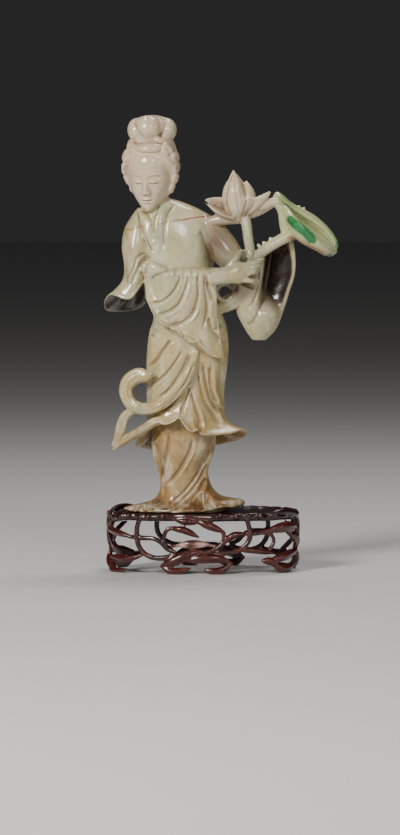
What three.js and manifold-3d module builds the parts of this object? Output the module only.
// A jadeite figure of Guanyin holding a lotus, standing on a carved openwork wood stand.
// Millimetres, +Z up, and the figure faces -Y. The origin is under the middle of the whole
// object's box, on the surface that the stand's feet rest on.
// The figure is one carving and the stand is another: the figure only rests on the stand.

import * as THREE from 'three';
import Module from 'manifold-3d';

// Driving sizes of the figure
const FIGURE_HEIGHT = 198;
const SEAT_GAP = 0.3;

// Driving sizes of the stand
const STAND_WIDTH = 97;
const STAND_DEPTH = 58;
const STAND_HEIGHT = 29.5;
const PLATFORM_THICKNESS = 3.4;
const RIM_HEIGHT = 1.3;
const RIM_WIDTH = 3.2;
const VINE_RADIUS = 1.6;
const LEAF_THICKNESS = 4;
const WALL_INSET = 2.6;

const wasm = await Module();
wasm.setup();

const TURN = Math.PI * 2;
const DEGREE = Math.PI / 180;

// Small helpers for numbers

function clamp(value) {
  return Math.min(1, Math.max(0, value));
}

function mix(a, b, share) {
  return a + (b - a) * share;
}

function rise(from, to, value) {
  const share = clamp((value - from) / (to - from));
  return share * share * (3 - 2 * share);
}

function bump(centre, width, value) {
  const offset = (value - centre) / width;
  return Math.exp(-offset * offset);
}

// A rounded ridge between two narrow grooves: 0 in the groove and 1 on the ridge.
function fold(phase) {
  return Math.abs(Math.sin(Math.PI * phase)) ** 0.7;
}

// Reads the smooth curve through keys of [station, value, value, ...] at one station.
function curveAt(keys, station) {
  const last = keys.length - 1;
  let i = 0;
  while (i < last - 1 && station > keys[i + 1][0]) i += 1;
  const [a, b] = [keys[i], keys[i + 1]];
  const before = keys[Math.max(0, i - 1)];
  const after = keys[Math.min(last, i + 2)];
  const span = b[0] - a[0];
  const t = clamp((station - a[0]) / span);
  const values = [];
  for (let k = 1; k < a.length; k += 1) {
    const slopeA = ((b[k] - before[k]) / (b[0] - before[0])) * span;
    const slopeB = ((after[k] - a[k]) / (after[0] - a[0])) * span;
    const cubic = 2 * a[k] - 2 * b[k] + slopeA + slopeB;
    const square = 3 * b[k] - 3 * a[k] - 2 * slopeA - slopeB;
    values.push(((cubic * t + square) * t + slopeA) * t + a[k]);
  }
  return values;
}

// Solids

// A closed skin over rows of closed rings, capped at its first and last ring.
// place(row, column) gives each point; both run from 0 to 1, and column never reaches 1.
function skin(rows, columns, place) {
  const points = [];
  for (let r = 0; r <= rows; r += 1) {
    for (let c = 0; c < columns; c += 1) points.push(place(r / rows, c / columns));
  }
  const triangles = [];
  for (let r = 0; r < rows; r += 1) {
    for (let c = 0; c < columns; c += 1) {
      const [p, q] = [r * columns + c, r * columns + ((c + 1) % columns)];
      triangles.push([p, q, q + columns], [p, q + columns, p + columns]);
    }
  }
  for (const start of [0, rows * columns]) {
    const centre = new THREE.Vector3();
    for (let c = 0; c < columns; c += 1) centre.addScaledVector(points[start + c], 1 / columns);
    points.push(centre);
    for (let c = 0; c < columns; c += 1) {
      const [p, q] = [start + c, start + ((c + 1) % columns)];
      triangles.push(start ? [p, q, points.length - 1] : [q, p, points.length - 1]);
    }
  }
  return solid(points, triangles);
}

function solid(points, triangles) {
  let volume = 0;
  for (const [a, b, c] of triangles) {
    volume += points[a].dot(new THREE.Vector3().crossVectors(points[b], points[c]));
  }
  const facing = volume < 0 ? triangles.map(([a, b, c]) => [a, c, b]) : triangles;
  const vertProperties = new Float32Array(points.flatMap((p) => p.toArray()));
  const triVerts = new Uint32Array(facing.flat());
  return new wasm.Manifold(new wasm.Mesh({ numProp: 3, vertProperties, triVerts }));
}

// A limb, vine, ribbon or finger: an oval section swept along a smooth path.
// sizes holds keys of [share of the path, half width across it, half depth along `through`].
function limb({ path, sizes, sides = 8, steps = 6, through = new THREE.Vector3(0, 1, 0) }) {
  const curve = new THREE.CatmullRomCurve3(path);
  return skin(steps, sides, (share, around) => {
    const along = curve.getTangent(share);
    const across = new THREE.Vector3().crossVectors(along, through).normalize();
    const deep = new THREE.Vector3().crossVectors(across, along).normalize();
    const [halfWidth, halfDepth] = curveAt(sizes, share);
    const angle = around * TURN;
    return curve
      .getPoint(share)
      .addScaledVector(across, Math.cos(angle) * halfWidth)
      .addScaledVector(deep, Math.sin(angle) * halfDepth);
  });
}

// A point of the smooth path through the points, by its share of the length.
function pathAt(points, share) {
  const lengths = [0];
  for (let i = 1; i < points.length; i += 1) {
    lengths.push(lengths[i - 1] + points[i].distanceTo(points[i - 1]));
  }
  const keys = points.map((point, i) => [lengths[i] / lengths.at(-1), ...point.toArray()]);
  return new THREE.Vector3(...curveAt(keys, share));
}

// A closed form whose section passes smoothly through its guide lines, in their order.
function loft(guides, rows, columns) {
  return skin(rows, columns, (row, column) => {
    const section = guides.map((guide) => pathAt(guide, mix(0.01, 0.99, row)));
    return new THREE.CatmullRomCurve3(section, true, 'catmullrom').getPoint(column);
  });
}

// A rounded mass: half sizes along x, y and z, through place(x, y, z). Its ends are small flats.
const PEBBLE_SLOPE = 0.44 * Math.PI;

function pebble(place, [halfX, halfY, halfZ], rows = 6, columns = 12) {
  return skin(rows, columns, (row, column) => {
    const slope = mix(-PEBBLE_SLOPE, PEBBLE_SLOPE, row);
    const angle = column * TURN;
    const flat = Math.cos(slope);
    return place(Math.cos(angle) * flat * halfX, Math.sin(angle) * flat * halfY, Math.sin(slope) * halfZ);
  });
}

// A sheet with a front and a back: front(row, column) and back(row, column), both from 0 to 1.
function sheet(rows, columns, front, back) {
  const ring = 2 * (columns + 1);
  return skin(rows, ring, (row, around) => {
    const step = Math.round(around * ring);
    return step <= columns ? front(row, step / columns) : back(row, (ring - 1 - step) / columns);
  });
}

function join(pieces) {
  return pieces.reduce((whole, piece) => whole.add(piece));
}

// The figure's pose is drawn on a grid of 198 units in its height: x to the viewer's right,
// y into the depth and z up from the sole.
const GRID_HEIGHT = 198;
const UNIT = FIGURE_HEIGHT / GRID_HEIGHT;
const SOLE = STAND_HEIGHT + SEAT_GAP;

function at(x, y, z) {
  return new THREE.Vector3(x * UNIT, y * UNIT, SOLE + z * UNIT);
}

function route(points) {
  return points.map(([x, y, z]) => at(x, y, z));
}

// A point on an upright body: level is [middle, left, right, front, back] at height z.
function around(level, z, angle, relief = 0, depth = 0) {
  const [middle, left, right, front, back] = level;
  const [cosine, sine] = [Math.cos(angle), Math.sin(angle)];
  const halfWidth = (cosine > 0 ? right - middle : middle - left) + relief;
  const halfDepth = (sine > 0 ? back : -front) + relief;
  return at(middle + cosine * halfWidth, depth + sine * halfDepth, z);
}

function wholeTurn(column) {
  return column * TURN;
}

function none() {
  return 0;
}

// A body of upright levels: rows lists { height, inset, lift } from below, and relief(angle,
// height, column) and drop(angle, height) carve its folds and its hem.
function draped({ levels, rows, columns, turn = wholeTurn, relief = none, drop = none, depth = 0 }) {
  return skin(rows.length - 1, columns, (row, column) => {
    const { height, inset = 0, lift = 0 } = rows[Math.round(row * (rows.length - 1))];
    const angle = turn(column, height);
    const level = curveAt(levels, height + lift);
    const z = height + drop(angle, height) + lift;
    return around(level, z, angle, relief(angle, height, column) - inset, depth);
  });
}

// Robe and underskirt

const UNDERSKIRT_FOLDS = 7;
const UNDERSKIRT_TWIST = 2.2;
const UNDERSKIRT_TOP = 47;
const UNDERSKIRT_LEVELS = [
  // height, middle, left, right, front, back
  [0, -10, -38.4, 14.6, -15.5, 15],
  [1.4, -10, -38.6, 17.6, -16.2, 15.8],
  [2.8, -10, -34.4, 20.2, -15.6, 15.4],
  [4.4, -10, -27.6, 21, -14, 14],
  [6.2, -10, -24, 17, -12.7, 12.6],
  [7.6, -10, -23, 8.4, -12.1, 12],
  [11, -10, -21.6, 4.6, -11.3, 11],
  [15, -10, -21.3, 2.9, -11, 10.5],
  [19.5, -10, -22.2, 2.5, -10.9, 10.2],
  [24, -10, -24, 3.3, -11.1, 10.2],
  [29, -10, -25.4, 5.3, -11.8, 10.6],
  [34, -10, -25.7, 6.2, -12.2, 11],
  [40, -10, -24, 6.8, -12.4, 11.2],
  [UNDERSKIRT_TOP, -10, -24, 6, -12, 11],
];

// The underskirt spreads over the stand and its folds twist as they fall.
function underskirt() {
  const heights = [0, 1.8, 4.2, 6.6, 14, 28, UNDERSKIRT_TOP];
  return draped({
    levels: UNDERSKIRT_LEVELS,
    rows: heights.map((height) => ({ height })),
    columns: UNDERSKIRT_FOLDS * 2,
    turn: (column, height) => column * TURN + (UNDERSKIRT_TWIST * height) / UNDERSKIRT_TOP,
    relief: (angle, height, column) => {
      const depth = height > 0 ? mix(2.8, 1.9, rise(2, 14, height)) : 0.8;
      return depth * (fold(column * UNDERSKIRT_FOLDS) - 0.6);
    },
  });
}

const ROBE_LEVELS = [
  // height, middle, left, right, front, back
  [36, -8, -36, 22.4, -21, 19],
  [40, -8, -34, 22, -20, 18],
  [41.8, -8, -32, 17.4, -18.6, 17],
  [44, -8.2, -29.6, 13.6, -17.4, 16],
  [48, -8.5, -28, 11.4, -16.4, 14.6],
  [54, -8.5, -28, 10.6, -15.6, 13.6],
  [62, -8.5, -28.4, 10.8, -14.8, 13],
  [72, -8.5, -28.4, 12.2, -14.4, 12.5],
  [82, -8, -27.8, 12.8, -14, 12.2],
  [90, -7.5, -26.6, 12.2, -13.6, 12],
  [96, -8, -24.8, 10.6, -13.4, 12],
  [105, -10, -25.5, 6.5, -13, 12],
  [114, -12, -29, 4, -13, 12.2],
  [124, -13.5, -32, 5.5, -13.9, 12.6],
  [134, -15, -34.5, 7.5, -14, 12.6],
  [141, -16.5, -35.5, 7, -13.2, 11.6],
  [146.5, -18, -34, 3.5, -11.8, 10],
  [150.5, -19, -31, -1.5, -9.8, 8.2],
  [153.5, -20.5, -28, -8, -8, 6.6],
  [156, -21.5, -27, -15.5, -6, 5.4],
];
const ROBE_FOLDS = 10;
const ROBE_HEM = 40;
// The hem's own height by share of a turn: 0 is the viewer's right and 0.75 the front.
const HEM_LINE = [
  [0, 39.4], [0.03, 37.4], [0.08, 35], [0.16, 32.6], [0.27, 31], [0.4, 31], [0.5, 33], [0.57, 38],
  [0.66, 45], [0.69, 44.4], [0.727, 47.4], [0.76, 41], [0.787, 39.8], [0.84, 39], [0.93, 41], [1, 39.4],
];
const BACK_SCALLOPS = 9;

function shareOfTurn(angle) {
  return (((angle / TURN) % 1) + 1) % 1;
}

// Columns crowd towards the front middle where gather is below 1, so that folds fan out below.
function gathered(column, gather) {
  const side = column * 2 - 1;
  return (0.75 + (side * (gather + (1 - gather) * Math.abs(side) ** 2.2)) / 2) * TURN;
}

// The outer robe from its scalloped hem, which is hollow below, to the waist.
function robe() {
  const heights = [42.2, 46, 54, 66, 78, 90, 101];
  const hollow = [
    { height: ROBE_HEM, inset: 6, lift: 8.5 }, { height: ROBE_HEM, inset: 3, lift: 4 },
    { height: ROBE_HEM, inset: 2.4, lift: 0.8 },
  ];
  return draped({
    levels: ROBE_LEVELS,
    rows: [...hollow, { height: ROBE_HEM }, ...heights.map((height) => ({ height }))],
    columns: ROBE_FOLDS * 2,
    turn: (column, height) => gathered(column, mix(1, 0.5, rise(50, 92, height))),
    relief: (angle, height, column) => {
      const side = rise(0.8, 1, Math.cos(angle));
      const depth = mix(3, 1.7, rise(42, 60, height)) * (1 - rise(84, 98, height));
      return depth * (1 - 0.7 * side) * (fold(column * ROBE_FOLDS) - 0.7);
    },
    drop: (angle, height) => {
      const share = shareOfTurn(angle);
      const behind = rise(0.02, 0.12, share) * (1 - rise(0.5, 0.6, share));
      const scallop = 2.4 * behind * (fold(share * BACK_SCALLOPS) - 0.6);
      return (curveAt(HEM_LINE, share)[0] - ROBE_HEM - scallop) * (1 - rise(41, 60, height));
    },
  });
}

// The robe over the chest and shoulders, up to the neck.
function torso() {
  const heights = [97, 110, 124, 136, 143.5, 149, 153, 156];
  return draped({
    levels: ROBE_LEVELS,
    rows: heights.map((height) => ({ height })),
    columns: 12,
  });
}

// The depth of the chest's front surface at x and z.
function chestY(x, z) {
  const [middle, left, right, front] = curveAt(ROBE_LEVELS, z);
  const reach = x > middle ? right - middle : middle - left;
  return front * Math.sqrt(Math.max(0.05, 1 - ((x - middle) / reach) ** 2));
}

// Two bands of the collar cross over the chest: each follows its surface.
function collar() {
  const band = (points, halfWidth) =>
    limb({
      path: points.map(([x, z]) => at(x, chestY(x, z) + 0.2, z)),
      sizes: [[0, halfWidth, 1.7], [0.7, halfWidth * 0.9, 1.6], [1, halfWidth * 0.5, 1]],
      sides: 6,
      steps: 3,
    });
  return join([
    band([[-29.6, 152], [-30, 146.5], [-26.4, 138.5], [-22, 131], [-15, 124]], 3.4),
    band([[-15.4, 155.8], [-18.2, 151], [-21.4, 145], [-22, 138], [-21, 130]], 3.2),
  ]);
}

// The streaming tail of the robe's hem on the viewer's left.
function hemTail() {
  return limb({
    path: route([
      [-16, -14.5, 46.6], [-24, -13, 45.2], [-28.4, -11, 42.4], [-33, -8.6, 39.4], [-40.6, -6, 34.1],
      [-45, -5, 30.6],
    ]),
    sizes: [[0, 2, 2], [0.25, 2.6, 2.4], [0.75, 2.3, 2.2], [1, 0.7, 0.8]],
    sides: 6,
    steps: 5,
  });
}

// Sash ends: one curls up into a loop beside the robe and one falls to the tail.
function sash() {
  const loop = limb({
    path: route([
      [-3, -13.2, 80.5], [-5.4, -15.4, 74], [-9, -17.2, 66.6], [-14, -18, 60], [-20, -17.8, 55],
      [-25.5, -15.8, 52.4], [-31, -13, 51.9], [-36, -10.6, 54.4], [-38.4, -9, 60], [-37, -8.6, 65],
      [-32.2, -9.6, 68.2], [-28.2, -11.4, 68], [-24.6, -12.8, 69.6],
    ]),
    sizes: [
      [0, 1.6, 1.6], [0.12, 2.7, 2.3], [0.3, 3.2, 2.6], [0.72, 3.5, 2.7], [0.86, 4.1, 2.7],
      [0.94, 3.3, 2.4], [1, 0.9, 1],
    ],
    sides: 6,
    steps: 14,
  });
  const strand = limb({
    path: route([[-34, -11, 51], [-38, -9.2, 48.6], [-40, -7.8, 45], [-42, -6.6, 38], [-45.6, -5, 32.4]]),
    sizes: [[0, 2, 2], [0.5, 3, 2.3], [0.8, 2.1, 1.8], [1, 0.7, 0.8]],
    sides: 6,
    steps: 4,
  });
  return join([loop, strand]);
}

// Sleeves and arms

const BELL_FOLDS = 6;
const BELL_HEM = 103.5;
const BELL_LEVELS = [
  // height, middle, left, right, front, back
  [98, -38, -50.6, -28, -15, 14],
  [BELL_HEM, -37.5, -49.4, -28, -14.5, 13.5],
  [106, -37, -46.6, -27.6, -14.2, 13],
  [110, -35.5, -42.6, -27.4, -13.8, 12.5],
  [115, -35, -39.9, -27, -13.4, 11.8],
  [123, -34.5, -39.2, -25.5, -13, 11],
  [132, -33.8, -40.7, -25, -12.4, 10.5],
  [141, -32.5, -39.2, -25.5, -10.5, 9.2],
  [147.5, -31, -35.5, -25.5, -8, 7],
  [151.5, -29.5, -32.4, -26.5, -4.5, 4],
];
// The lip's height by share of a turn: its front is lifted and it rises beside the elbow.
const BELL_LIP = [
  [0, 109], [0.06, 104], [0.2, 100], [0.36, 99.4], [0.46, 100.6], [0.5, 103.2], [0.56, 106.2],
  [0.62, 108], [0.72, 106.4], [0.78, 106.6], [0.85, 111.4], [0.92, 115], [1, 109],
];

// The sleeve on the viewer's left flares into a bell that is open below.
function leftBell() {
  const hollow = [
    { height: BELL_HEM, inset: 5, lift: 11 },
    { height: BELL_HEM, inset: 2.6, lift: 5 },
    { height: BELL_HEM, inset: 1.8, lift: 0.4 },
  ];
  const heights = [107, 114, 124, 138, 147, 151.5];
  return draped({
    levels: BELL_LEVELS,
    rows: [...hollow, { height: BELL_HEM }, ...heights.map((height) => ({ height }))],
    columns: BELL_FOLDS * 2,
    relief: (angle, height, column) => {
      const depth = 1.9 * rise(104, 110, height) * (1 - rise(124, 138, height));
      return depth * (fold(column * BELL_FOLDS) - 0.6);
    },
    drop: (angle, height) => {
      const lip = curveAt(BELL_LIP, shareOfTurn(angle))[0] - BELL_HEM;
      return lip * (1 - rise(104, 126, height));
    },
  });
}

// The forearm that lies across the chest, inside its sleeve.
function forearm() {
  return limb({
    path: route([
      [-32, -2, 128], [-27, -9, 121.5], [-18, -12.4, 117.4], [-8, -13.8, 116.6], [2, -15.4, 117],
      [9, -16.2, 118],
    ]),
    sizes: [[0, 4.5, 5], [0.25, 4.6, 4.6], [0.6, 4.2, 4.2], [1, 4.3, 4]],
    sides: 8,
    steps: 5,
  });
}

// The wide end of that sleeve hangs from the forearm in a fan of folds over three hem lobes.
const SLEEVE_FOLDS = 7;
const SLEEVE_THICKNESS = 3.6;
const SLEEVE_TOP = [
  // share across, x, z
  [0, -27.8, 127.4], [0.12, -24.6, 124.8], [0.3, -18, 122], [0.5, -11, 121.2], [1, 7.2, 121.6],
];
const SLEEVE_HEM = [
  [0, -28.7, 107], [0.14, -26, 101.6], [0.29, -21.6, 94.4], [0.46, -12.5, 90.4], [0.6, -8, 85],
  [0.74, -1.4, 84.8], [0.86, 1.8, 79], [1, 11, 77],
];
const SLEEVE_CUSPS = [0, 0.46, 0.74, 1];
const SLEEVE_PROFILE = [
  // fall, depth of the cloth, share of the drop
  [0, -11, -0.012], [0.16, -18.4, 0.06], [0.4, -18.9, 0.33], [0.7, -18, 0.68], [1, -19.6, 1],
];

function hemLobe(across) {
  const lobe = across < SLEEVE_CUSPS[1] ? 0 : across < SLEEVE_CUSPS[2] ? 1 : 2;
  const share = (across - SLEEVE_CUSPS[lobe]) / (SLEEVE_CUSPS[lobe + 1] - SLEEVE_CUSPS[lobe]);
  return Math.sin(Math.PI * clamp(share)) ** 0.8;
}

function frontSleeve() {
  const cloth = (fall, across, behind) => {
    const [depth, drop] = curveAt(SLEEVE_PROFILE, fall);
    const [hemX, hemZ] = curveAt(SLEEVE_HEM, across);
    const [topX, topZ] = curveAt(SLEEVE_TOP, across);
    const bow = Math.sin(Math.PI * clamp(drop));
    const x = mix(topX, hemX, drop) - bow * (0.8 * (1 - across) ** 2 + 1.8 * across ** 3);
    const z = mix(topZ, hemZ, drop);
    const hollow = 3.6 * bump(-25, 4.2, x) * bump(112.5, 5.5, z);
    const lobes = 1.5 * (hemLobe(across) - 0.5) * rise(0.55, 1, fall);
    const ridge = 1.7 * (fold(across * SLEEVE_FOLDS) - 0.6) * rise(0, 0.3, fall);
    const relief = behind ? SLEEVE_THICKNESS : -ridge;
    return at(x, depth + hollow - lobes + relief + 6 * (1 - across) ** 5, z);
  };
  return sheet(
    6,
    SLEEVE_FOLDS * 2,
    (fall, across) => cloth(fall, across, false),
    (fall, across) => cloth(fall, across, true),
  );
}

// The other arm comes round from the far shoulder to the lotus stems.
function farArm() {
  return limb({
    path: route([[-4, 1.5, 145.5], [4.4, -0.5, 138.6], [9.6, -2.4, 132], [14, -4, 126.8], [20, -6, 122.5]]),
    sizes: [[0, 5.8, 8], [0.3, 7.2, 8.6], [0.7, 7.4, 8], [1, 4.6, 5]],
    sides: 8,
    steps: 5,
  });
}

// Its sleeve hangs as a deep bag, and its mouth is open towards the right.
const BAG_FOLDS = 4;
const BAG_LEVELS = [
  [85.4, 28, 25, 31.4, -2.6, 2.6],
  [91, 28.3, 21, 36.4, -5.4, 4.8],
  [101, 29, 16.4, 40.8, -7.4, 6.6],
  [110, 30, 18.6, 43.6, -7.8, 7],
  [119, 31.5, 20.5, 46.4, -7.6, 7],
  [126, 33, 20.5, 46, -6.6, 6.6],
  [132, 34.5, 24, 44.6, -4, 4],
];
const BAG_MOUTH = { angle: -62 * DEGREE, width: 0.5, depth: 6.2 };

function rightBag() {
  return draped({
    levels: BAG_LEVELS,
    rows: BAG_LEVELS.map(([height]) => ({ height })),
    columns: BAG_FOLDS * 4,
    relief: (angle, height, column) => {
      const across = Math.atan2(Math.sin(angle), Math.cos(angle));
      const mouth = bump(BAG_MOUTH.angle, BAG_MOUTH.width, across) * rise(92, 106, height);
      const back = rise(-0.2, 0.6, Math.sin(angle));
      const pleats = 1.6 * (fold(column * BAG_FOLDS) - 0.6) * (1 - back);
      return pleats - BAG_MOUTH.depth * mouth * (1 - rise(126, 134, height));
    },
    drop: (angle, height) => 5 * Math.cos(angle) * rise(114, 132, height),
  });
}

// The gathered cloth that ties the bag to the waist below the wrist, with the stone behind it.
function sleeveTie() {
  const band = limb({
    path: route([[2, 0, 99.5], [9, -2.5, 101.8], [15, -4.5, 105.8], [22, -5, 111]]),
    sizes: [[0, 4, 4], [0.5, 3.4, 4], [1, 4.4, 4]],
    sides: 6,
    steps: 3,
  });
  const web = limb({
    path: route([[3, 2, 108.5], [11, 2, 109], [20, 0, 111.5]]),
    sizes: [[0, 5.4, 2.6], [0.5, 5.4, 2.6], [1, 5, 3]],
    sides: 6,
    steps: 2,
  });
  return join([band, web]);
}

// Hands

function finger(points, radius) {
  return limb({
    path: route(points),
    sizes: [[0, radius, radius], [0.75, radius * 0.9, radius * 0.9], [1, radius * 0.45, radius * 0.45]],
    sides: 4,
    steps: 2,
  });
}

function nearHand() {
  const palm = limb({
    path: route([[5, -15.8, 117.8], [11, -16.2, 118.2], [16.5, -15.8, 119.4], [22, -14.6, 120]]),
    sizes: [[0, 4.2, 3.8], [0.4, 4.4, 3.8], [0.75, 5.6, 3.4], [1, 4.4, 2.6]],
    sides: 8,
    steps: 3,
  });
  const fingers = [
    // knuckle x and z, then tip x and z
    [19.4, 123.2, 30.4, 126.4], [20.6, 121.2, 29.4, 123.8], [21, 119.2, 28.6, 121.2],
    [20.6, 116.8, 27.8, 115],
  ].map(([x, z, tipX, tipZ]) => {
    const middle = [(x + tipX) / 2, -16.4, (z + tipZ) / 2 - 0.5];
    return finger([[x - 3, -16, z - 0.6], middle, [tipX, -13, tipZ]], 1.5);
  });
  const thumb = finger([[11.5, -16, 120.4], [15.6, -16, 125.8], [19.4, -13.4, 131]], 2);
  return join([palm, ...fingers, thumb]);
}

function farHand() {
  const palm = limb({
    path: route([[14, -2, 125.6], [19, -5, 125], [24, -8, 124.6]]),
    sizes: [[0, 4, 3.6], [0.6, 5, 3.6], [1, 4, 3]],
    sides: 6,
    steps: 2,
  });
  const fingers = [0, 1].map((n) => {
    const x = 19.8 + 3.4 * n;
    return finger([[x - 1.5, -7, 122.5], [x, -10.4, 126.5], [x + 1, -11.4, 131 - 0.8 * n]], 1.9);
  });
  return join([palm, ...fingers]);
}

// The head, bent forward and turned a little to the viewer's left
const HEAD_PITCH = 12 * DEGREE;
const HEAD_TURN = 14 * DEGREE;
const HEAD_CENTRE = [-25.8, -4.2, 167.5];

function headAt(x, y, z) {
  const tilt = new THREE.Euler(HEAD_PITCH, 0, -HEAD_TURN, 'ZXY');
  const turned = new THREE.Vector3(x, y, z).applyEuler(tilt);
  return at(HEAD_CENTRE[0] + turned.x, HEAD_CENTRE[1] + turned.y, HEAD_CENTRE[2] + turned.z);
}

const HEAD_LEVELS = [
  // height, half width, front, back
  [-16.2, 3.4, -10, -3.5], [-13.4, 6, -11.4, 0], [-8.4, 9, -11.9, 5],
  [-2, 10.8, -12, 9.5], [4, 11.3, -12, 11.5], [10.5, 10.8, -10.8, 11], [16.6, 7, -6, 8],
];

function head() {
  return skin(HEAD_LEVELS.length - 1, 12, (row, column) => {
    const [height, halfWidth, front, back] = HEAD_LEVELS[Math.round(row * (HEAD_LEVELS.length - 1))];
    const angle = column * TURN;
    const [cosine, sine] = [Math.cos(angle), Math.sin(angle)];
    const sockets = 1.1 * bump(1, 3, height) * bump(0.38, 0.2, Math.abs(cosine)) * (sine < 0 ? 1 : 0);
    return headAt(cosine * halfWidth, sine * ((sine > 0 ? back : -front) - sockets), height);
  });
}

function nose() {
  return limb({
    path: [headAt(0, -11.2, 3.6), headAt(0, -12.8, -1.5), headAt(0, -14.2, -5.4), headAt(0, -11.6, -6.8)],
    sizes: [[0, 0.8, 0.8], [0.65, 1.6, 1.1], [1, 1.7, 0.7]],
    sides: 4,
    steps: 3,
    through: new THREE.Vector3(1, 0, 0),
  });
}

// The hair covers the skull down to the neck and leaves the face open, under a tall bun.
function hair() {
  const cap = pebble((x, y, z) => headAt(x, y + 1, z + 2.6), [14, 14.2, 16], 5, 12);
  const face = pebble((x, y, z) => headAt(x, y - 14.4, z - 4.6), [11.8, 13.8, 17], 4, 10);
  const gather = skin(2, 12, (row, column) => {
    const [halfX, halfY, z] = curveAt([[0, 12.8, 11, 176], [0.5, 12, 10.4, 182], [1, 10.4, 9, 187]], row);
    const angle = column * TURN;
    return at(-25.4 + Math.cos(angle) * halfX, -0.5 + Math.sin(angle) * halfY, z);
  });
  return join([cap.subtract(face), gather]);
}

function bun() {
  const mass = (x, y, z, half, rows, columns) =>
    pebble((px, py, pz) => at(x + px, y + py, z + pz), half, rows, columns);
  return join([
    mass(-25.4, 0.5, 190.8, [12.4, 9.8, 7.2], 5, 12),
    mass(-26.8, -4.4, 190.8, [7.2, 6.8, 6.8], 4, 8),
  ]);
}

function neck() {
  return limb({
    path: route([[-21, 0.5, 149], [-22.5, -0.5, 156], [-24, -1.5, 163]]),
    sizes: [[0, 7, 6.6], [0.5, 5.8, 5.6], [1, 6.4, 6.4]],
    sides: 6,
    steps: 2,
  });
}

// Lotus

// A petal: a pointed, cupped blade from its root to its tip.
function petal({ root, tip, bow, halfWidth, facing, cup = 0.4, thickness = 1.5 }) {
  const outward = new THREE.Vector3(...facing).normalize();
  const [from, to] = route([root, tip]);
  const bowed = from.clone().lerp(to, 0.5).addScaledVector(outward, bow * UNIT);
  const spine = new THREE.QuadraticBezierCurve3(from, bowed, to);
  const place = (row, column, lift) => {
    const share = mix(0.01, 0.99, row);
    const along = spine.getTangent(share);
    const across = new THREE.Vector3().crossVectors(along, outward).normalize();
    const out = new THREE.Vector3().crossVectors(across, along).normalize();
    const blade = Math.sin(Math.PI * share ** 0.72) ** 0.7 * halfWidth * UNIT;
    const side = column * 2 - 1;
    return spine
      .getPoint(share)
      .addScaledVector(across, side * blade)
      .addScaledVector(out, lift * UNIT * (1 - 0.7 * side * side) - cup * side * side * blade);
  };
  return sheet(3, 2, (r, c) => place(r, c, thickness), (r, c) => place(r, c, -thickness * 0.4));
}

const PETALS = [
  // the closed bud: front and right
  { root: [17, -8, 147.4], tip: [15.2, -6.6, 170.2], bow: 11.5, halfWidth: 5.6, facing: [-0.15, -1, 0] },
  { root: [19.6, -7, 147.4], tip: [21, -7, 164.8], bow: 10.5, halfWidth: 5, facing: [0.9, -0.45, 0] },
  // the open outer petals: right, front and back
  {
    root: [18.5, -6.5, 147], tip: [33.4, -7.5, 159.6], bow: 4.6, halfWidth: 4.4,
    facing: [0.5, -0.35, -1], cup: 0.7,
  },
  { root: [18, -7, 147], tip: [9, -15, 152], bow: 2.6, halfWidth: 4.2, facing: [-0.2, -0.5, -0.9] },
  { root: [19, -5, 147], tip: [25, 5, 156], bow: 3, halfWidth: 4.8, facing: [0.2, 0.6, -0.8] },
];
const BUD_LEVELS = [
  // height, middle, left, right, front, back
  [146, 17.4, 14.4, 20.4, -3, 3],
  [149, 17.6, 11.4, 23.6, -6, 6],
  [153, 17.8, 10.4, 25.6, -7.2, 7.2],
  [158, 17.4, 11.2, 24, -6.8, 6.8],
  [163.4, 16.6, 12.4, 20.8, -4.8, 4.8],
  [168.4, 15.4, 13.8, 17, -1.8, 1.8],
];
const BUD_DEPTH = -6.2;

// The petal that lies open like a boat: far rim, hollow, near rim, belly and keel.
function openPetal() {
  return loft([
    route([[0.6, -4, 155.2], [3, -2.6, 156.2], [7, -1.8, 156.8], [12, -2, 156]]),
    route([[0.8, -6, 154.8], [4.6, -6, 153.2], [9, -6, 151.4], [13, -6, 149.6]]),
    route([[0.2, -8, 155], [4.2, -11.6, 152.6], [9.2, -13, 149.8], [15.4, -12, 147]]),
    route([[1, -7.4, 154], [5, -10.6, 150.2], [10, -11, 147.2], [16, -9.6, 145.2]]),
    route([[1.4, -5.4, 154.4], [5.4, -4.4, 150.6], [10.4, -3.4, 147.6], [16, -4, 145.4]]),
  ], 3, 8);
}

function lotusFlower() {
  const bud = draped({
    levels: BUD_LEVELS,
    rows: BUD_LEVELS.map(([height]) => ({ height })),
    columns: 8,
    depth: BUD_DEPTH,
  });
  return join([bud, openPetal(), ...PETALS.map(petal)]);
}

function stems() {
  const stem = (from, to, points) =>
    limb({ path: route(points), sizes: [[0, from, from], [1, to, to]], sides: 5, steps: 4 });
  return join([
    stem(2.4, 2.2, [[24.4, -9.5, 119.5], [23.4, -9.6, 127], [21.8, -8.4, 136], [18.2, -6, 149]]),
    stem(2.3, 2.7, [[21.5, -9.5, 123], [27.2, -9, 129], [34, -8, 134], [40.5, -6.4, 138], [47, -5, 139.6]]),
    stem(2.7, 2.1, [[43, -5, 137], [41.2, -5.6, 143.6], [38.6, -6.4, 151.6], [29, -7, 153.4]]),
    stem(2.3, 1.8, [[0, -5, 141], [4.6, -7, 145.6], [10.6, -8, 146.2], [18, -7, 146.4]]),
  ]);
}

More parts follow.
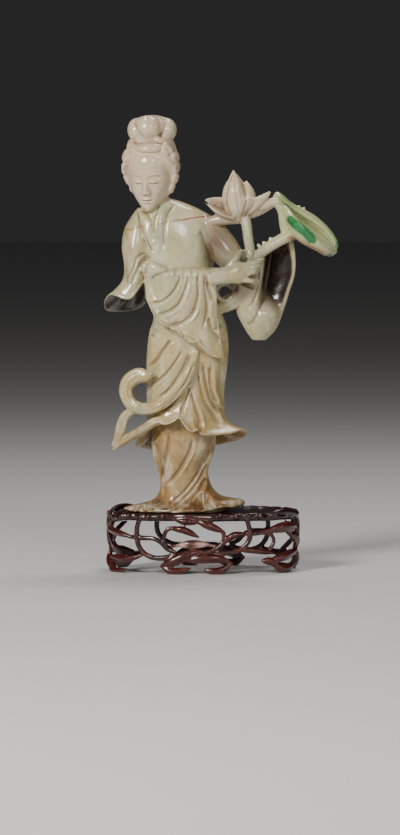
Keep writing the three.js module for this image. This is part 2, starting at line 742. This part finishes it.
// The lotus leaf is folded along a valley: its far blade stands behind a rolled near lobe.
// The guides run from the leaf's stem end to its tip, in order round the folded section.
function lotusLeaf() {
  const farRim = [
    [34.6, 0, 157], [36.6, 1, 159.4], [39.6, 2, 158], [43.4, 3.4, 154.6], [48, 4.4, 151.8],
    [55.4, 4.6, 147.8], [64.2, 2.6, 139.6], [67.6, 0, 134],
  ];
  const valley = [
    [35.4, -4, 155.6], [38.8, -4.4, 155], [42.8, -4, 151.8], [50, -2.8, 145.2], [59, -3.6, 139],
    [67.2, -3.6, 131.8],
  ];
  const crest = [
    [35.8, -6, 154.6], [39.4, -8, 153], [42.6, -10.4, 151.4], [50.4, -12.2, 143], [58, -11, 136],
    [66.8, -5, 130.8],
  ];
  const belly = [
    [35.8, -6.6, 153.6], [39.2, -9.4, 150.6], [43, -11.8, 146.6], [51.4, -13, 137.4], [60, -11, 130.8],
    [66.8, -5, 129.6],
  ];
  const keel = [
    [36, -5.4, 153], [39.6, -6.6, 148.6], [42.6, -7.4, 142], [45.4, -7.6, 136.8], [50, -7.4, 133.4],
    [60.4, -6.4, 128], [66.6, -3, 128.8],
  ];
  const back = [
    [35.6, -2.4, 154], [39.6, -1.4, 151], [44, -0.6, 146.6], [52.6, 0.8, 140.2], [61, 0, 134],
    [67, -1.6, 131],
  ];
  return loft([farRim, valley, crest, belly, keel, back].map(route), 5, 12);
}

function figureSolid() {
  return join([
    underskirt(), robe(), torso(), collar(), hemTail(), sash(),
    leftBell(), forearm(), frontSleeve(), farArm(), rightBag(), sleeveTie(), nearHand(), farHand(),
    neck(), head(), nose(), hair(), bun(),
    lotusFlower(), stems(), lotusLeaf(),
  ]);
}

// The stand: an oval platform over an openwork wall of vines and leaves, on leaf feet.

const HALF_WIDTH = STAND_WIDTH / 2;
const HALF_DEPTH = STAND_DEPTH / 2;
const OVAL_POWER = 2.6;

// A point of the oval wall by turn, height and distance outside its middle line.
function wallAt(share, z, outside = 0) {
  const angle = share * TURN;
  const shape = (value) => Math.sign(value) * Math.abs(value) ** (2 / OVAL_POWER);
  const x = shape(Math.cos(angle)) * (HALF_WIDTH - WALL_INSET + outside);
  const y = shape(Math.sin(angle)) * (HALF_DEPTH - WALL_INSET + outside);
  return new THREE.Vector3(x, y, z);
}

// A point of the front wall by its place across, from -1 to 1 of the half width; facing -1
// turns it half round, to the back wall.
function frontAt(across, z, outside = 0, facing = 1) {
  const limited = Math.min(0.999, Math.abs(across));
  const depth = (1 - limited ** OVAL_POWER) ** (1 / OVAL_POWER);
  const x = Math.sign(across) * limited * (HALF_WIDTH - WALL_INSET + outside);
  return new THREE.Vector3(x * facing, -depth * (HALF_DEPTH - WALL_INSET + outside) * facing, z);
}

const RIM_LOBES = 12;

function platform() {
  const base = STAND_HEIGHT - PLATFORM_THICKNESS;
  const rows = [
    { inset: 5, z: base }, { inset: 1, z: base + 0.4 }, { inset: 0, z: STAND_HEIGHT },
    { inset: 1.2, z: STAND_HEIGHT, rim: RIM_HEIGHT }, { inset: RIM_WIDTH, z: STAND_HEIGHT },
  ];
  return skin(rows.length - 1, 2 * RIM_LOBES, (row, column) => {
    const { inset, z, rim = 0 } = rows[Math.round(row * (rows.length - 1))];
    const lobe = 1.2 * (fold(column * RIM_LOBES + 0.5) - 1) * clamp(1.5 - inset / 2);
    // The rim is highest at the viewer's right.
    const high = 0.6 + 0.5 * Math.cos(column * TURN);
    return wallAt(column, z + rim * high, WALL_INSET - inset + lobe);
  });
}

// Vines and leaves are drawn on the wall by [across in grid units, height in grid units], on a
// grid 92 wide and 29.5 high, so that they follow the stand's own width and height.
const WALL_GRID_WIDTH = 92;
const WALL_GRID_HEIGHT = 29.5;

function wallRoute(points, facing) {
  return points.map(([x, z, outside = 0]) =>
    frontAt((2 * x) / WALL_GRID_WIDTH, (z / WALL_GRID_HEIGHT) * STAND_HEIGHT, outside, facing),
  );
}

// A path on a flank, by [share of a turn from its middle, height]; side is the flank's own turn.
function flankRoute(points, side) {
  return points.map(([share, z, outside = 0]) =>
    wallAt(side + share, (z / WALL_GRID_HEIGHT) * STAND_HEIGHT, outside),
  );
}

function wallThrough(path) {
  const middle = path[Math.floor(path.length / 2)];
  const bend = new THREE.Vector3(middle.x / HALF_WIDTH ** 2, middle.y / HALF_DEPTH ** 2, 0);
  return bend.normalize();
}

function vine(path) {
  return limb({
    path,
    sizes: [[0, VINE_RADIUS, VINE_RADIUS], [1, VINE_RADIUS, VINE_RADIUS]],
    sides: 4,
    steps: path.length,
    through: wallThrough(path),
  });
}

// A leaf on the wall: a pointed blade from end to end, with its widest place at the middle.
function wallLeaf(path, halfWidth) {
  return limb({
    path,
    sizes: [[0, 0.7, 1], [0.4, halfWidth, LEAF_THICKNESS / 2], [1, 0.5, 0.7]],
    sides: 4,
    steps: 3,
    through: wallThrough(path),
  });
}

// Those with `back` are repeated on the back wall, turned half round.
const VINES = [
  { back: true, points: [[-31.2, 27.5, 0.4], [-32.4, 19, 0.6], [-30.4, 12.4, 0.4], [-24, 8.2], [-14, 10]] },
  { back: true, points: [[-45, 20.4], [-39.6, 19.6], [-34, 18], [-24, 17.4], [-13.5, 11]] },
  { points: [[-43.6, 19], [-44.9, 14.6], [-44, 11], [-40.5, 8.8]] },
  { points: [[-13.8, 11], [-18.8, 15.4], [-18.6, 21], [-13.2, 23.4]] },
  { points: [[10, 21.6], [10.2, 16.6], [6, 12.4], [-2, 9.8]] },
  {
    back: true,
    points: [[21.2, 29.6, 0.5], [23, 22, 0.6], [21.4, 14.8, 0.4], [14.4, 11], [5, 10.6], [-1, 9.6]],
  },
  { points: [[10.6, 16], [17, 19.8], [27, 20.4], [40, 23]] },
  { points: [[28, 20.4], [34.6, 18.6], [34.6, 14.6], [31, 11]] },
  { points: [[4, 14.4, -1], [10, 14.2, -0.6]] },
  {
    back: true,
    points: [[34.4, 28.6, 0.4], [41.6, 30.4, 0.5], [46.6, 27, 0.6], [48, 20, 1], [47.6, 12, 0.6], [45, 8]],
  },
];
const LEAVES = [
  // points of the middle line: across, height and how far it stands out
  { halfWidth: 1.9, points: [[-48, 21.2, 1.2], [-43, 20.3, 0.6], [-34.5, 17.8]] },
  { back: true, halfWidth: 2.6, points: [[-47.6, 10, 1], [-46.6, 5.4, 0.8], [-43.6, 0.8, 0.4]] },
  { back: true, halfWidth: 2.2, points: [[-47.4, 7.4, 0.8], [-39.6, 6.8, 0.8], [-28.4, 9.9]] },
  { halfWidth: 1.9, points: [[-14.4, 27, 0.4], [-7.4, 26.2, 0.9], [-0.6, 26.4, 0.4]] },
  { halfWidth: 2.1, points: [[-3.6, 26.6, 0.4], [4, 23.8, 1], [11.2, 20.8]] },
  { halfWidth: 1.9, points: [[-16.4, 22.8], [-9.6, 22.1, 0.8], [-1.6, 18.3, 0.4]] },
  { halfWidth: 2.5, points: [[-17, 13.8, -0.6], [-4.6, 14.9, 0], [6, 14.4, -0.6]] },
  { halfWidth: 2.7, points: [[31.4, 21.2], [41, 22.9, 0.8], [47.8, 21, 1]] },
  { halfWidth: 2.4, points: [[43.4, 19.4, 0.4], [46, 15.8, 0.9], [47.6, 12, 0.6]] },
  { halfWidth: 1.9, points: [[16, 12], [25.5, 11.7, 0.6], [36.8, 9.9]] },
  // the feet
  { back: true, halfWidth: 2.6, points: [[-21.8, 3.8, 0.4], [-13.4, 7.2, 1], [0.4, 11.8]] },
  { back: true, halfWidth: 2.4, points: [[-21.6, 4.2], [-14, 0.5, 0.2], [-5.6, 4.2]] },
  { back: true, halfWidth: 2.5, points: [[-10.6, 6.4], [3.4, 8.2, 1], [15.2, 5]] },
  { back: true, halfWidth: 2.4, points: [[-0.6, 4.4], [7, 0.5, 0.2], [15, 5.4]] },
  { back: true, halfWidth: 2.4, points: [[30, 5.4], [38.6, 8, 1], [48.4, 10.4, 1.4]] },
  { back: true, halfWidth: 2.6, points: [[31.4, 6], [39.6, 0.5, 0.2], [46.4, 5.8, 0.4]] },
];
// Each flank carries one vine and one leaf, by share of a turn from the flank's middle.
const FLANK_VINE = [[-0.09, 23, 0.2], [-0.04, 17.4, 0.2], [0, 18.4, 0.2], [0.05, 14, 0.2], [0.09, 8.4]];
const FLANK_LEAF = { halfWidth: 2.2, points: [[-0.01, 19], [0.018, 23, 0.4], [0.05, 27.4]] };

function wallCarving() {
  const pieces = [];
  for (const facing of [1, -1]) {
    const shown = (row) => facing > 0 || row.back;
    pieces.push(...VINES.filter(shown).map((row) => vine(wallRoute(row.points, facing))));
    pieces.push(...LEAVES.filter(shown).map((row) => wallLeaf(wallRoute(row.points, facing), row.halfWidth)));
  }
  for (const side of [0, 0.5]) {
    pieces.push(vine(flankRoute(FLANK_VINE, side)));
    pieces.push(wallLeaf(flankRoute(FLANK_LEAF.points, side), FLANK_LEAF.halfWidth));
  }
  return pieces;
}

function standSolid() {
  const whole = join([platform(), ...wallCarving()]);
  // The feet are cut level, so that the stand rests on flats.
  const floor = skin(1, 4, (row, column) => {
    const angle = column * TURN;
    const reach = 2 * STAND_WIDTH;
    return new THREE.Vector3(Math.cos(angle) * reach, Math.sin(angle) * reach, mix(-STAND_HEIGHT, 0, row));
  });
  return whole.subtract(floor);
}

function toMesh(name, body, colour, roughness) {
  const { vertProperties, triVerts } = body.getMesh();
  const geometry = new THREE.BufferGeometry();
  geometry.setAttribute('position', new THREE.BufferAttribute(vertProperties, 3));
  geometry.setIndex(new THREE.BufferAttribute(triVerts, 1));
  const material = new THREE.MeshStandardMaterial({ color: colour, roughness, metalness: 0 });
  const mesh = new THREE.Mesh(geometry, material);
  mesh.name = name;
  return mesh;
}

const placed = new THREE.Group();
placed.add(toMesh('guanyin_figure', figureSolid(), 0xcfc3a8, 0.25));
placed.add(toMesh('wood_stand', standSolid(), 0x4a1a12, 0.35));
const box = new THREE.Box3().setFromObject(placed);
placed.position.set(-(box.min.x + box.max.x) / 2, -(box.min.y + box.max.y) / 2, -box.min.z);

const group = new THREE.Group();
group.add(placed);
export default group;
